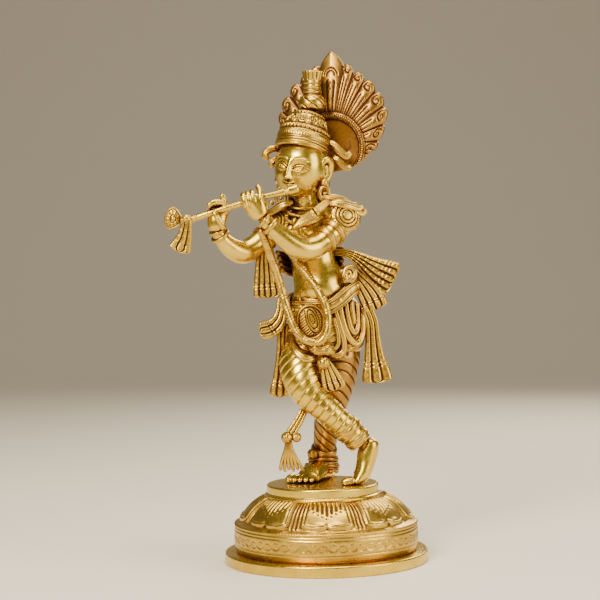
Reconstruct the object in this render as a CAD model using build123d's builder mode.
"""A cast brass deity figure playing a transverse flute, standing cross-legged on a lotus base.

Millimetres. +Z is up, the viewer stands on the -Y side, and the origin is the centre of the
base's underside. "Left" and "right" are the figure's own: its left arm is on the +X side.
"""

import os

from build123d import *

os.makedirs("parts", exist_ok=True)

# ---------------------------------------------------------------- driving dimensions
PLATE_RADIUS = 75.0  # foot plate, the widest ring of the base
PLATE_HEIGHT = 8.2
PLATE_BORE = 56.0
DRUM_RADIUS = 68.0
DRUM_TOP = 47.6
DRUM_TOP_RADIUS = 44.5
WALL = 4.5  # wall of the hollow lotus drum
SEAM_TURN = 11.0  # degrees, keeps the seam of the turned drum off the petals' middle lines
PETAL_COUNT = 8
PETAL_LIFT = 1.6
PLATFORM_RADIUS = 41.3
PLATFORM_FLARE = 1.7
PLATFORM_TOP = 57.3
PLATFORM_SHIFT = -2.0  # the platform sits slightly off the drum's axis

STUD_RADIUS = 2.5
STUD_TOP = 61.0
STUD_BOTTOM = 38.0
NUT_ACROSS_CORNERS = 9.2
NUT_HEIGHT = 4.0
WASHER_RADIUS = 6.0
WASHER_HEIGHT = 1.2
STUD_PLACES = [(-6.0, 14.0), (22.0, -13.0)]  # under the flat foot and the crossed foot

FAN_CENTRE = (9.5, 24.0, 306.0)
FAN_TURN = 18.0  # degrees that the feather fan turns toward the figure's right
FAN_THICKNESS = 5.0
HEAD_CENTRE = (-13.5, 2.0, 289.5)
HEAD_LEAN = 11.0  # degrees that the head and crown lean toward +X
HEAD_WIDTH = 38.0
HEAD_HEIGHT = 46.0
FLUTE_RADIUS = 2.3
NECKLACE_RADIUS = 16.0
NECKLACE_WIDTH = 4.6


# ---------------------------------------------------------------- shared forms
def limb_sections(stations):
    """Round sections square to a limb's line, from (x, y, z, radius) stations."""
    points = [Vector(*station[:3]) for station in stations]
    last = len(points) - 1
    sections = []
    for index, station in enumerate(stations):
        along = points[min(index + 1, last)] - points[max(index - 1, 0)]
        with BuildSketch(Plane(origin=points[index], z_dir=along)) as section:
            Circle(station[3])
        sections.append(section.sketch.face())
    return sections


def body_sections(stations):
    """Level oval sections of a body, from (x, y, z, half width, half depth) stations."""
    sections = []
    for x, y, z, half_width, half_depth in stations:
        with BuildSketch(Plane(origin=(x, y, z))) as section:
            Ellipse(half_width, half_depth)
        sections.append(section.sketch.face())
    return sections


def cloth_plate(corners, back, thickness):
    """A flat fold of cast cloth: an upright outline of (x, z) corners, thickened toward the viewer."""
    with BuildPart() as plate:
        with BuildSketch(Plane(origin=(0, back, 0), x_dir=(1, 0, 0), z_dir=(0, -1, 0))):
            with BuildLine():
                Polyline(*corners, close=True)
            make_face()
        extrude(amount=thickness)
    return plate.part


def oval_plate(centre, half_width, half_height, thickness):
    """An upright oval plate centred on a point."""
    with BuildPart() as plate:
        with BuildSketch(Plane(origin=centre, x_dir=(1, 0, 0), z_dir=(0, -1, 0))):
            Ellipse(half_width, half_height)
        extrude(amount=thickness / 2, both=True)
    return plate.part


def belt_plane(centre):
    """The low-slung plane of the belt, rising to the figure's left and to the back."""
    return Plane(origin=centre, x_dir=(1, 0, 0.32), z_dir=(-0.32, -0.53, 1))


def write(builder, name):
    """Label a finished piece and write it to its own file."""
    builder.part.label = name
    export_step(builder.part, f"parts/{name}.step")


# ---------------------------------------------------------------- lotus base
with BuildPart() as foot_plate:
    with BuildSketch():
        Circle(PLATE_RADIUS)
        Circle(PLATE_BORE, mode=Mode.SUBTRACT)
    extrude(amount=PLATE_HEIGHT)
    fillet(foot_plate.edges().filter_by(GeomType.CIRCLE).group_by(SortBy.RADIUS)[-1], 1.0)

# the drum's outer line, from the foot plate up over the shoulder
SHOULDER = [(64.5, 30.0), (60.3, 34.0), (56.5, 38.5), (51.5, 43.5), (DRUM_TOP_RADIUS, DRUM_TOP)]
SKIRT = [(63.5, PLATE_HEIGHT), (66.8, 11.5), (DRUM_RADIUS, 16.0), (DRUM_RADIUS, 24.0), (67.4, 28.8)]

with BuildPart() as drum_shell:
    with BuildSketch(Plane.XZ):
        with BuildLine():
            skirt = Spline(*SKIRT)
            shoulder = Spline(*SHOULDER)
            Line(skirt @ 1, shoulder @ 0)
            Polyline(
                shoulder @ 1,
                (DRUM_TOP_RADIUS - WALL - 2, DRUM_TOP),
                (DRUM_TOP_RADIUS - WALL - 2, DRUM_TOP - WALL),
                (47.0, 42.0),
                (56.0, 33.0),
                (DRUM_RADIUS - WALL - 1, 25.5),
                (DRUM_RADIUS - WALL - 1, 15.0),
                (63.5 - WALL, PLATE_HEIGHT),
                skirt @ 0,
            )
        make_face()
    revolve(axis=Axis.Z)

# eight broad lotus petals lie on the shoulder, one of them facing the viewer
with BuildPart() as petal_blank:
    with BuildSketch(Plane.XZ):
        with BuildLine():
            crown_line = Spline(*[(r + PETAL_LIFT, z + PETAL_LIFT) for r, z in SHOULDER[:-1]])
            inner_line = Spline(*[(r - WALL / 3, z - WALL / 3) for r, z in SHOULDER[:-1]])
            Line(crown_line @ 0, inner_line @ 0)
            Line(crown_line @ 1, inner_line @ 1)
        make_face()
    revolve(axis=Axis.Z)

with BuildPart() as petal_blade:
    with BuildSketch(Plane.XY.offset(PLATE_HEIGHT)):
        with BuildLine():
            petal_side = Spline((46, 14.5), (57, 20.5), (66, 20.0), (67.5, 12.0), (64.5, 0))
            mirror(petal_side, about=Plane.XZ)
            Line((46, 14.5), (46, -14.5))
        make_face()
    extrude(amount=DRUM_TOP - PLATE_HEIGHT)
    add(petal_blank.part, mode=Mode.INTERSECT)

with BuildPart() as lotus_drum:
    add(Rot(0, 0, SEAM_TURN) * drum_shell.part)
    with PolarLocations(0, PETAL_COUNT, start_angle=-90):
        add(petal_blade.part)

with BuildPart() as platform_disc:
    with BuildSketch(Plane.XZ):
        with BuildLine():
            Polyline(
                (0, DRUM_TOP),
                (PLATFORM_RADIUS + PLATFORM_FLARE, DRUM_TOP),
                (PLATFORM_RADIUS + PLATFORM_FLARE, DRUM_TOP + 1.6),
                (PLATFORM_RADIUS, DRUM_TOP + 3.6),
                (PLATFORM_RADIUS, PLATFORM_TOP),
                (0, PLATFORM_TOP),
                close=True,
            )
        make_face()
    revolve(axis=Axis.Z)
    with Locations(*[(x - PLATFORM_SHIFT, y, PLATFORM_TOP) for x, y in STUD_PLACES]):
        Hole(STUD_RADIUS)

with BuildPart() as platform:
    add(Pos(PLATFORM_SHIFT, 0, 0) * platform_disc.part)

with BuildPart() as foot_studs:
    with Locations(*[(x, y, STUD_BOTTOM) for x, y in STUD_PLACES]):
        Cylinder(STUD_RADIUS, STUD_TOP - STUD_BOTTOM, align=(Align.CENTER, Align.CENTER, Align.MIN))

with BuildPart() as foot_washers:
    with BuildSketch(Plane.XY.offset(DRUM_TOP - WASHER_HEIGHT)):
        with Locations(*STUD_PLACES):
            Circle(WASHER_RADIUS)
            Circle(STUD_RADIUS, mode=Mode.SUBTRACT)
    extrude(amount=WASHER_HEIGHT)

with BuildPart() as foot_nuts:
    with BuildSketch(Plane.XY.offset(DRUM_TOP - WASHER_HEIGHT - NUT_HEIGHT)):
        with Locations(*STUD_PLACES):
            RegularPolygon(NUT_ACROSS_CORNERS / 2, 6)
            Circle(STUD_RADIUS, mode=Mode.SUBTRACT)
    extrude(amount=NUT_HEIGHT)

# ---------------------------------------------------------------- body
with BuildPart() as hips:
    loft(
        sections=body_sections(
            [
                (-1.5, 7, 149, 20, 15),
                (-1.5, 8, 158, 25, 18),
                (0, 8, 172, 27, 19),
                (2, 8, 186, 25, 18),
                (2, 8, 200, 20, 14),
            ]
        )
    )

with BuildPart() as torso:
    loft(
        sections=body_sections(
            [
                (2, 8, 200, 20, 14),
                (-3, 8, 212, 17, 13),
                (-6, 8, 223, 16.5, 12.5),
                (-7, 9, 236, 20, 14),
                (-8, 9, 249, 24, 14.5),
                (-8.5, 8, 258, 21, 12),
            ]
        )
    )
    loft(sections=limb_sections([(-9, 8, 255, 9), (-10.5, 6, 263, 8.4), (-11, 5, 272, 8.4)]))

with BuildPart() as head_blank:
    with BuildSketch(Plane.XZ):
        Ellipse(HEAD_WIDTH / 2, HEAD_HEIGHT / 2)
        Rectangle(HEAD_WIDTH, HEAD_HEIGHT, align=(Align.MAX, Align.CENTER), mode=Mode.SUBTRACT)
    revolve(axis=Axis.Z)
head_oval = Pos(*HEAD_CENTRE) * Rot(0, HEAD_LEAN, 0) * head_blank.part

with BuildPart() as standing_leg:
    loft(
        sections=limb_sections(
            [
                (10, 11, 160, 18.5),
                (11, 11, 146, 17),
                (9, 10, 128, 14),
                (5, 11, 111, 11.5),
                (2, 15, 97, 10),
                (0.5, 20, 84, 9),
                (-1, 24, 74, 8.2),
                (-0.5, 27, 66, 8.0),
            ]
        )
    )
    add(hips.part, mode=Mode.SUBTRACT)

with BuildPart() as crossed_leg:
    loft(
        sections=limb_sections(
            [
                (-13, 3, 160, 18),
                (-17, -3, 147, 16.5),
                (-14.5, -11, 131, 14),
                (-4.5, -16, 119, 11.5),
                (8, -17, 107, 10),
                (19, -16, 96, 9.2),
                (27, -13, 87, 8.2),
            ]
        )
    )
    add(hips.part, mode=Mode.SUBTRACT)
    add(standing_leg.part, mode=Mode.SUBTRACT)

with BuildPart() as standing_foot:
    loft(
        sections=limb_sections(
            [
                (2, 38, 62, 5),
                (1, 32, 64, 8.5),
                (-2, 24, 65, 9),
                (-9, 12, 62, 9),
                (-17, 2, 60, 9),
                (-23, -5, 59, 6),
            ]
        )
    )
    with Locations((0, 0, PLATFORM_TOP)):
        Box(100, 100, 20, align=(Align.CENTER, Align.CENTER, Align.MAX), mode=Mode.SUBTRACT)
    add(standing_leg.part, mode=Mode.SUBTRACT)
    add(foot_studs.part, mode=Mode.SUBTRACT)

with BuildPart() as crossed_foot:
    loft(
        sections=limb_sections(
            [(28, -12.5, 86, 8.2), (29, -11, 77, 7.6), (26, -11, 68, 7.4), (22, -13, 60.5, 7.0)]
        )
    )
    with BuildSketch(Plane.XY.offset(PLATFORM_TOP)):
        with Locations((22, -14)):
            Ellipse(10, 7.5)
    extrude(amount=6)
    with Locations((28, -12, PLATFORM_TOP)):
        Box(50, 50, 20, align=(Align.CENTER, Align.CENTER, Align.MAX), mode=Mode.SUBTRACT)
    add(crossed_leg.part, mode=Mode.SUBTRACT)
    add(foot_studs.part, mode=Mode.SUBTRACT)

# ---------------------------------------------------------------- arms, hands and flute
with BuildPart() as flute:
    loft(
        sections=limb_sections(
            [
                (-98, -29, 252, FLUTE_RADIUS),
                (-75, -29, 258.8, FLUTE_RADIUS),
                (-42, -28, 268, FLUTE_RADIUS),
                (-25, -26, 272, 2.7),
                (-14, -22.5, 274.5, 3.2),
            ]
        )
    )
    add(head_oval, mode=Mode.SUBTRACT)

with BuildPart() as left_arm:
    loft(
        sections=limb_sections(
            [
                (18, 4, 253, 10),
                (7, -7, 240, 8.8),
                (-5, -18, 231.5, 8.6),
                (-15, -24, 231, 8.6),
                (-26, -28, 238, 7.6),
                (-35, -30.5, 246.5, 5.8),
                (-42, -31, 253, 5.2),
            ]
        )
    )
    add(torso.part, mode=Mode.SUBTRACT)

with BuildPart() as left_hand:
    loft(
        sections=limb_sections(
            [(-42, -31, 253, 5.2), (-46, -31, 260, 7), (-49, -31, 267, 6.5), (-50.5, -30, 272, 4)]
        )
    )
    add(flute.part, mode=Mode.SUBTRACT)
    add(left_arm.part, mode=Mode.SUBTRACT)

with BuildPart() as right_arm:
    loft(
        sections=limb_sections(
            [
                (-28, 6, 248, 9),
                (-43, 0, 239, 8.2),
                (-53, -7, 231, 8.4),
                (-60, -12, 228.5, 8.2),
                (-67, -18, 233, 7.2),
                (-73, -22, 239, 5.8),
                (-75, -24.5, 244.5, 5.2),
            ]
        )
    )
    add(torso.part, mode=Mode.SUBTRACT)

with BuildPart() as right_hand:
    loft(
        sections=limb_sections(
            [(-75, -24.5, 244.5, 5.2), (-75, -26, 251, 7.2), (-75.5, -28, 258, 7.2), (-76, -29, 264, 5)]
        )
    )
    add(flute.part, mode=Mode.SUBTRACT)
    add(right_arm.part, mode=Mode.SUBTRACT)

with BuildPart() as flute_leaf:
    leaf_outline = [(-107, 262), (-112, 255), (-111, 250), (-106, 245), (-102, 249), (-101, 255)]
    add(cloth_plate(leaf_outline, -27, 4))
    add(flute.part, mode=Mode.SUBTRACT)

with BuildPart() as flute_tassel:
    tassel_outline = [(-100, 255), (-95, 254), (-93, 244), (-92, 235), (-98, 229), (-110, 234), (-104, 244)]
    add(cloth_plate(tassel_outline, -25.5, 7))
    add(flute.part, mode=Mode.SUBTRACT)
    add(flute_leaf.part, mode=Mode.SUBTRACT)

# ---------------------------------------------------------------- crown, feathers and ears
CROWN_STATIONS = [  # height up the crown's axis, radius
    (0.0, 19.2),
    (4.0, 19.8),
    (12.5, 19.9),
    (16.0, 18.6),
    (23.0, 15.2),
    (30.0, 11.2),
]
CROWN_BASE = (-13.4, 3.5, 303.0)
CROWN_LEAN = 13.0  # degrees toward +X
CROWN_TIP_BACK = 11.5  # degrees away from the viewer

with BuildPart() as crown_blank:
    with BuildSketch(Plane.XZ):
        with BuildLine():
            crown_side = Polyline(*[(radius, height) for height, radius in CROWN_STATIONS])
            Polyline(crown_side @ 1, (0, CROWN_STATIONS[-1][0]), (0, 0), crown_side @ 0)
        make_face()
    revolve(axis=Axis.Z)

with BuildPart() as crown:
    add(Pos(*CROWN_BASE) * Rot(-CROWN_TIP_BACK, CROWN_LEAN, 0) * crown_blank.part)

with BuildPart() as head:
    add(head_oval)
    add(crown.part, mode=Mode.SUBTRACT)
    add(torso.part, mode=Mode.SUBTRACT)

TOPKNOT_PROFILE = [  # radius, height from the knot's foot
    (8.0, 0.0),
    (10.8, 4.0),
    (10.6, 8.0),
    (7.0, 12.0),
    (6.0, 18.0),
    (6.3, 22.0),
    (7.4, 29.0),
]
TOPKNOT_FOOT = (-4.8, 9.5, 333.2)
TOPKNOT_LEAN = 2.0  # degrees
with BuildPart() as topknot_blank:
    with BuildSketch(Plane.XZ):
        with BuildLine():
            knot_side = Spline(*TOPKNOT_PROFILE)
            Polyline(knot_side @ 1, (0, TOPKNOT_PROFILE[-1][1]), (0, 0), knot_side @ 0)
        make_face()
    revolve(axis=Axis.Z)

with BuildPart() as crown_topknot:
    add(Pos(*TOPKNOT_FOOT) * Rot(0, TOPKNOT_LEAN, 0) * topknot_blank.part)
    add(crown.part, mode=Mode.SUBTRACT)

FAN_ACROSS = Vector(1, 0, 0).rotate(Axis.Z, -FAN_TURN)
FAN_FACING = Vector(0, -1, 0).rotate(Axis.Z, -FAN_TURN)
# half of the fan's outline, from its tip down to its foot, in its own upright plane
FAN_HALF = [
    (0, 73.4),
    (8, 67),
    (13.5, 62),
    (21.5, 56),
    (30, 49.5),
    (36.5, 41),
    (41.5, 31.5),
    (42.5, 22.5),
    (40.5, 14),
    (36, 3),
    (28.5, -8),
    (18, -15),
    (0, -19),
]
with BuildPart() as feather_fan:
    with BuildSketch(Plane(origin=FAN_CENTRE, x_dir=FAN_ACROSS, z_dir=FAN_FACING)):
        with BuildLine():
            half = Spline(*FAN_HALF)
            mirror(half, about=Plane.YZ)
        make_face()
    extrude(amount=FAN_THICKNESS / 2, both=True)
    for neighbour in (head, crown, crown_topknot):
        add(neighbour.part, mode=Mode.SUBTRACT)


with BuildPart() as left_ear_scroll:
    add(oval_plate((16, 5, 301), 9, 11, 6))
    for neighbour in (head, crown, feather_fan):
        add(neighbour.part, mode=Mode.SUBTRACT)

with BuildPart() as right_ear_scroll:
    add(oval_plate((-35, 12, 300), 6, 7.5, 6))
    for neighbour in (head, crown, feather_fan):
        add(neighbour.part, mode=Mode.SUBTRACT)

EARRING_DROPS = [(2.6, 0.0), (3.6, -5.2), (2.0, -10.2)]  # bead radius, height below the lobe


def earring_beads(lobe):
    """Three beads hanging in line under an ear lobe, each sunk a little in the next."""
    return [(lobe[0], lobe[1], lobe[2] + drop, radius) for radius, drop in EARRING_DROPS]


with BuildPart() as left_earring:
    for x, y, z, radius in earring_beads((4.5, -4.0, 279.0)):
        with Locations((x, y, z)):
            Sphere(radius)
    add(head.part, mode=Mode.SUBTRACT)

with BuildPart() as right_earring:
    for x, y, z, radius in earring_beads((-27.5, 9.0, 276.0)):
        with Locations((x, y, z)):
            Sphere(radius)
    add(head.part, mode=Mode.SUBTRACT)

with BuildPart() as back_hair:
    loft(
        sections=body_sections(
            [(-5, 24, 250, 11, 3.5), (-6, 21, 262, 15, 4.5), (-8, 20, 276, 14, 5), (-9, 20, 290, 12, 4)]
        )
    )
    for neighbour in (torso, head, crown, feather_fan):
        add(neighbour.part, mode=Mode.SUBTRACT)

# ---------------------------------------------------------------- ornaments of the upper body
with BuildPart() as left_shoulder_cape:
    loft(
        sections=limb_sections(
            [(6, 3, 266, 4), (16, 5, 261, 11.5), (24, 6, 254, 11), (32, 7, 256, 3.5)]
        )
    )
    for neighbour in (torso, left_arm):
        add(neighbour.part, mode=Mode.SUBTRACT)

with BuildPart() as right_shoulder_cape:
    loft(sections=limb_sections([(-22, 7, 263, 4), (-29, 8, 256, 10.5), (-38, 8, 249, 9)]))
    for neighbour in (torso, right_arm):
        add(neighbour.part, mode=Mode.SUBTRACT)

with BuildPart() as hair_lock:
    loft(
        sections=limb_sections(
            [
                (6, -6, 267, 3),
                (2, -10, 260.5, 3.6),
                (-6, -12, 255.5, 4),
                (-15, -13, 249, 3.4),
                (-21, -14, 244, 1.2),
            ]
        )
    )
    for neighbour in (torso, left_shoulder_cape, left_arm, head):
        add(neighbour.part, mode=Mode.SUBTRACT)

with BuildPart() as necklace:
    with BuildSketch(Plane(origin=(-10.5, 2.5, 260), x_dir=(1, 0.1, -0.1), z_dir=(0.1, -0.34, 0.94))):
        Circle(NECKLACE_RADIUS)
        Circle(NECKLACE_RADIUS - NECKLACE_WIDTH, mode=Mode.SUBTRACT)
    extrude(amount=NECKLACE_WIDTH / 2, both=True)
    for neighbour in (torso, hair_lock, left_shoulder_cape, right_shoulder_cape, back_hair):
        add(neighbour.part, mode=Mode.SUBTRACT)


def ring_sections(stations, wall):
    """Sections of a collar round a limb: discs slightly wider than the limb."""
    return limb_sections([(x, y, z, radius + wall) for x, y, z, radius in stations])


with BuildPart() as left_armlets:
    loft(sections=ring_sections([(12, -2, 246, 9.4), (9.5, -4.5, 243, 9.2)], 1.3))
    loft(sections=ring_sections([(4, -9.8, 237.6, 8.8), (0, -13.5, 234.6, 8.7)], 1.2))
    add(left_arm.part, mode=Mode.SUBTRACT)
    add(torso.part, mode=Mode.SUBTRACT)

with BuildPart() as right_armlet:
    loft(sections=ring_sections([(-45, -1.4, 237.4, 8.2), (-49, -4.2, 234.2, 8.3)], 1.3))
    add(right_arm.part, mode=Mode.SUBTRACT)

with BuildPart() as left_bangle:
    loft(sections=ring_sections([(-33, -30, 244.6, 6.2), (-39, -31, 250.2, 5.5)], 1.4))
    add(left_arm.part, mode=Mode.SUBTRACT)

with BuildPart() as right_bangle:
    loft(sections=ring_sections([(-73.2, -22.3, 239.6, 5.8), (-74.8, -24.2, 243.8, 5.3)], 1.4))
    add(right_arm.part, mode=Mode.SUBTRACT)

# ---------------------------------------------------------------- belt and dhoti cloth
BELT_CENTRE = (1.0, 8.0, 200.0)
with BuildPart() as belt:
    with BuildSketch(belt_plane(BELT_CENTRE)):
        Ellipse(28.5, 22.5)
    extrude(amount=-8.5)
    add(hips.part, mode=Mode.SUBTRACT)
    add(torso.part, mode=Mode.SUBTRACT)

with BuildPart() as belt_loop:
    add(oval_plate((20.5, -4, 211), 5.5, 6.5, 10))
    for neighbour in (torso, belt, hips, left_arm):
        add(neighbour.part, mode=Mode.SUBTRACT)

SCARF_OUTLINE = [
    (8, 229),
    (18, 229),
    (26, 228),
    (34, 224),
    (44, 222),
    (53, 222),
    (54, 214),
    (56, 206),
    (50, 200),
    (42, 194),
    (34, 199),
    (30, 208),
    (25, 218),
    (17, 223),
    (9, 225),
]
with BuildPart() as flying_scarf:
    add(cloth_plate(SCARF_OUTLINE, 8, 7))
    for neighbour in (torso, hips, belt, belt_loop, left_arm):
        add(neighbour.part, mode=Mode.SUBTRACT)

with BuildPart() as side_folds:
    add(cloth_plate([(27, 213), (34, 200), (44, 193), (43, 185), (35, 180), (26, 184)], 9, 9))
    for neighbour in (torso, hips, belt, belt_loop, flying_scarf, standing_leg):
        add(neighbour.part, mode=Mode.SUBTRACT)

LEFT_SASH_OUTLINE = [
    (28, 184),
    (38, 183),
    (42, 170),
    (43, 156),
    (47, 146),
    (51, 140),
    (45, 130),
    (36, 129.5),
    (28, 132.5),
    (31, 145),
    (31, 160),
]
with BuildPart() as left_long_sash:
    add(cloth_plate(LEFT_SASH_OUTLINE, 4, 6))
    for neighbour in (hips, side_folds, standing_leg, belt):
        add(neighbour.part, mode=Mode.SUBTRACT)

with BuildPart() as back_scarf:
    loft(
        sections=body_sections(
            [(-6, 17, 214, 22, 9), (-5, 18, 222, 21, 9), (-5, 18, 230, 23, 8.5)]
        )
    )
    for neighbour in (torso, flying_scarf, right_arm, left_arm, belt, belt_loop, side_folds):
        add(neighbour.part, mode=Mode.SUBTRACT)

PLEATS_OUTLINE = [
    (-40, 240),
    (-36, 234),
    (-32, 221),
    (-29, 204),
    (-29, 195.5),
    (-37, 194),
    (-44, 195),
    (-51, 198),
    (-48, 212),
    (-49, 222),
    (-46, 231),
]
with BuildPart() as right_scarf_pleats:
    add(cloth_plate(PLEATS_OUTLINE, 4, 9))
    for neighbour in (torso, hips, right_arm, back_scarf, belt):
        add(neighbour.part, mode=Mode.SUBTRACT)

with BuildPart() as right_sash_end:
    loft(
        sections=limb_sections(
            [
                (-29, 1, 202, 4),
                (-29.5, -2, 190, 4.5),
                (-31, -3, 178, 5),
                (-36, -4, 171, 5),
                (-43, -4, 168.5, 4.5),
            ]
        )
    )
    for neighbour in (hips, belt, right_scarf_pleats):
        add(neighbour.part, mode=Mode.SUBTRACT)

RIGHT_SASH_OUTLINE = [
    (-34, 175),
    (-25, 176),
    (-24.5, 160),
    (-26, 145),
    (-25, 121.5),
    (-32, 124),
    (-40, 130),
    (-35, 145),
]
with BuildPart() as right_long_sash:
    add(cloth_plate(RIGHT_SASH_OUTLINE, 5, 6))
    for neighbour in (hips, crossed_leg, right_sash_end):
        add(neighbour.part, mode=Mode.SUBTRACT)

with BuildPart() as apron_panel:
    add(cloth_plate([(-18, 187), (0, 187), (2, 176), (-3, 167), (-11, 166), (-17, 174)], -6, 9))
    add(hips.part, mode=Mode.SUBTRACT)
    add(belt.part, mode=Mode.SUBTRACT)

with BuildPart() as hip_swag:
    swag_outline = [(14, 193), (12, 180), (16, 168), (25, 160), (33, 166), (33, 180), (31, 193)]
    add(cloth_plate(swag_outline, 3, 16))
    for neighbour in (hips, belt, apron_panel, side_folds, left_long_sash, standing_leg):
        add(neighbour.part, mode=Mode.SUBTRACT)

with BuildPart() as waist_knot:
    knot_outline = [(-9, 161), (-2, 158), (5, 162), (5, 151), (1, 148), (-4, 148), (-9, 151)]
    add(cloth_plate(knot_outline, -14, 12))
    with Locations((0, -19, 146.5)):
        Sphere(5)
    for neighbour in (hips, crossed_leg, standing_leg):
        add(neighbour.part, mode=Mode.SUBTRACT)

FRONT_SWAG_OUTLINE = [
    (-20.5, 166),
    (-19, 157),
    (-10, 150),
    (0, 153),
    (10, 152),
    (17, 157),
    (17, 172),
    (9, 181),
    (3, 165),
    (-10, 160),
]
with BuildPart() as front_swag:
    add(cloth_plate(FRONT_SWAG_OUTLINE, -6, 12))
    for neighbour in (hips, crossed_leg, standing_leg, apron_panel, hip_swag, waist_knot):
        add(neighbour.part, mode=Mode.SUBTRACT)

with BuildPart() as front_pleats:
    add(cloth_plate([(-3, 150), (6, 150), (15, 134), (11, 126), (1, 127), (-4, 136)], -6, 12))
    for neighbour in (crossed_leg, standing_leg, waist_knot, front_swag, hips):
        add(neighbour.part, mode=Mode.SUBTRACT)

# ---------------------------------------------------------------- garland, tassel and anklets
GARLAND_RADIUS = 2.7
GARLAND_LINE = [
    (-43, -24, 243),
    (-38, -21, 229),
    (-33, -17, 214),
    (-29, -15, 200),
    (-25, -17, 187),
    (-20, -20, 173),
    (-13, -21, 164),
    (-3, -21, 162.5),
    (3, -21, 169),
    (4, -21, 178.5),
    (2, -20, 190),
    (-4, -16, 202),
    (-12, -13, 212),
    (-19, -12, 222),
]
with BuildPart() as garland:
    with BuildLine():
        garland_path = FilletPolyline(*GARLAND_LINE, radius=6)
    with BuildSketch(Plane(origin=garland_path @ 0, z_dir=garland_path % 0)):
        Circle(GARLAND_RADIUS)
    sweep()
    for neighbour in (torso, hips, belt, apron_panel, left_arm, left_bangle):
        add(neighbour.part, mode=Mode.SUBTRACT)
    add(right_sash_end.part, mode=Mode.SUBTRACT)
    add(right_scarf_pleats.part, mode=Mode.SUBTRACT)

with BuildPart() as leg_tassel:
    loft(
        sections=limb_sections(
            [
                (-15, -9, 112, 3.5),
                (-22, -12, 100, 4),
                (-27, -14, 91, 5.5),
                (-27, -13, 80, 6.5),
                (-27, -12, 66.5, 8),
            ]
        )
    )
    for neighbour in (crossed_leg, standing_foot, standing_leg):
        add(neighbour.part, mode=Mode.SUBTRACT)

with BuildPart() as crossed_anklet:
    loft(sections=ring_sections([(17.5, -16.3, 97.4, 9.2), (26, -13.4, 88, 8.4)], 1.5))
    for neighbour in (crossed_leg, crossed_foot):
        add(neighbour.part, mode=Mode.SUBTRACT)

with BuildPart() as standing_anklet:
    loft(sections=ring_sections([(0.3, 20.6, 83, 8.9), (-1, 24.4, 73, 8.2)], 1.6))
    for neighbour in (standing_leg, leg_tassel):
        add(neighbour.part, mode=Mode.SUBTRACT)

# ---------------------------------------------------------------- export
PIECES = {
    "foot_plate": foot_plate,
    "lotus_drum": lotus_drum,
    "platform": platform,
    "foot_studs": foot_studs,
    "foot_washers": foot_washers,
    "foot_nuts": foot_nuts,
    "hips": hips,
    "torso": torso,
    "head": head,
    "standing_leg": standing_leg,
    "standing_foot": standing_foot,
    "crossed_leg": crossed_leg,
    "crossed_foot": crossed_foot,
    "flute": flute,
    "left_arm": left_arm,
    "left_hand": left_hand,
    "right_arm": right_arm,
    "right_hand": right_hand,
    "flute_leaf": flute_leaf,
    "flute_tassel": flute_tassel,
    "crown": crown,
    "crown_topknot": crown_topknot,
    "feather_fan": feather_fan,
    "left_ear_scroll": left_ear_scroll,
    "right_ear_scroll": right_ear_scroll,
    "left_earring": left_earring,
    "right_earring": right_earring,
    "back_hair": back_hair,
    "left_shoulder_cape": left_shoulder_cape,
    "right_shoulder_cape": right_shoulder_cape,
    "hair_lock": hair_lock,
    "necklace": necklace,
    "left_armlets": left_armlets,
    "right_armlet": right_armlet,
    "left_bangle": left_bangle,
    "right_bangle": right_bangle,
    "belt": belt,
    "belt_loop": belt_loop,
    "flying_scarf": flying_scarf,
    "side_folds": side_folds,
    "left_long_sash": left_long_sash,
    "back_scarf": back_scarf,
    "right_scarf_pleats": right_scarf_pleats,
    "right_sash_end": right_sash_end,
    "right_long_sash": right_long_sash,
    "apron_panel": apron_panel,
    "hip_swag": hip_swag,
    "waist_knot": waist_knot,
    "front_swag": front_swag,
    "front_pleats": front_pleats,
    "garland": garland,
    "leg_tassel": leg_tassel,
    "crossed_anklet": crossed_anklet,
    "standing_anklet": standing_anklet,
}
for name, piece in PIECES.items():
    write(piece, name)
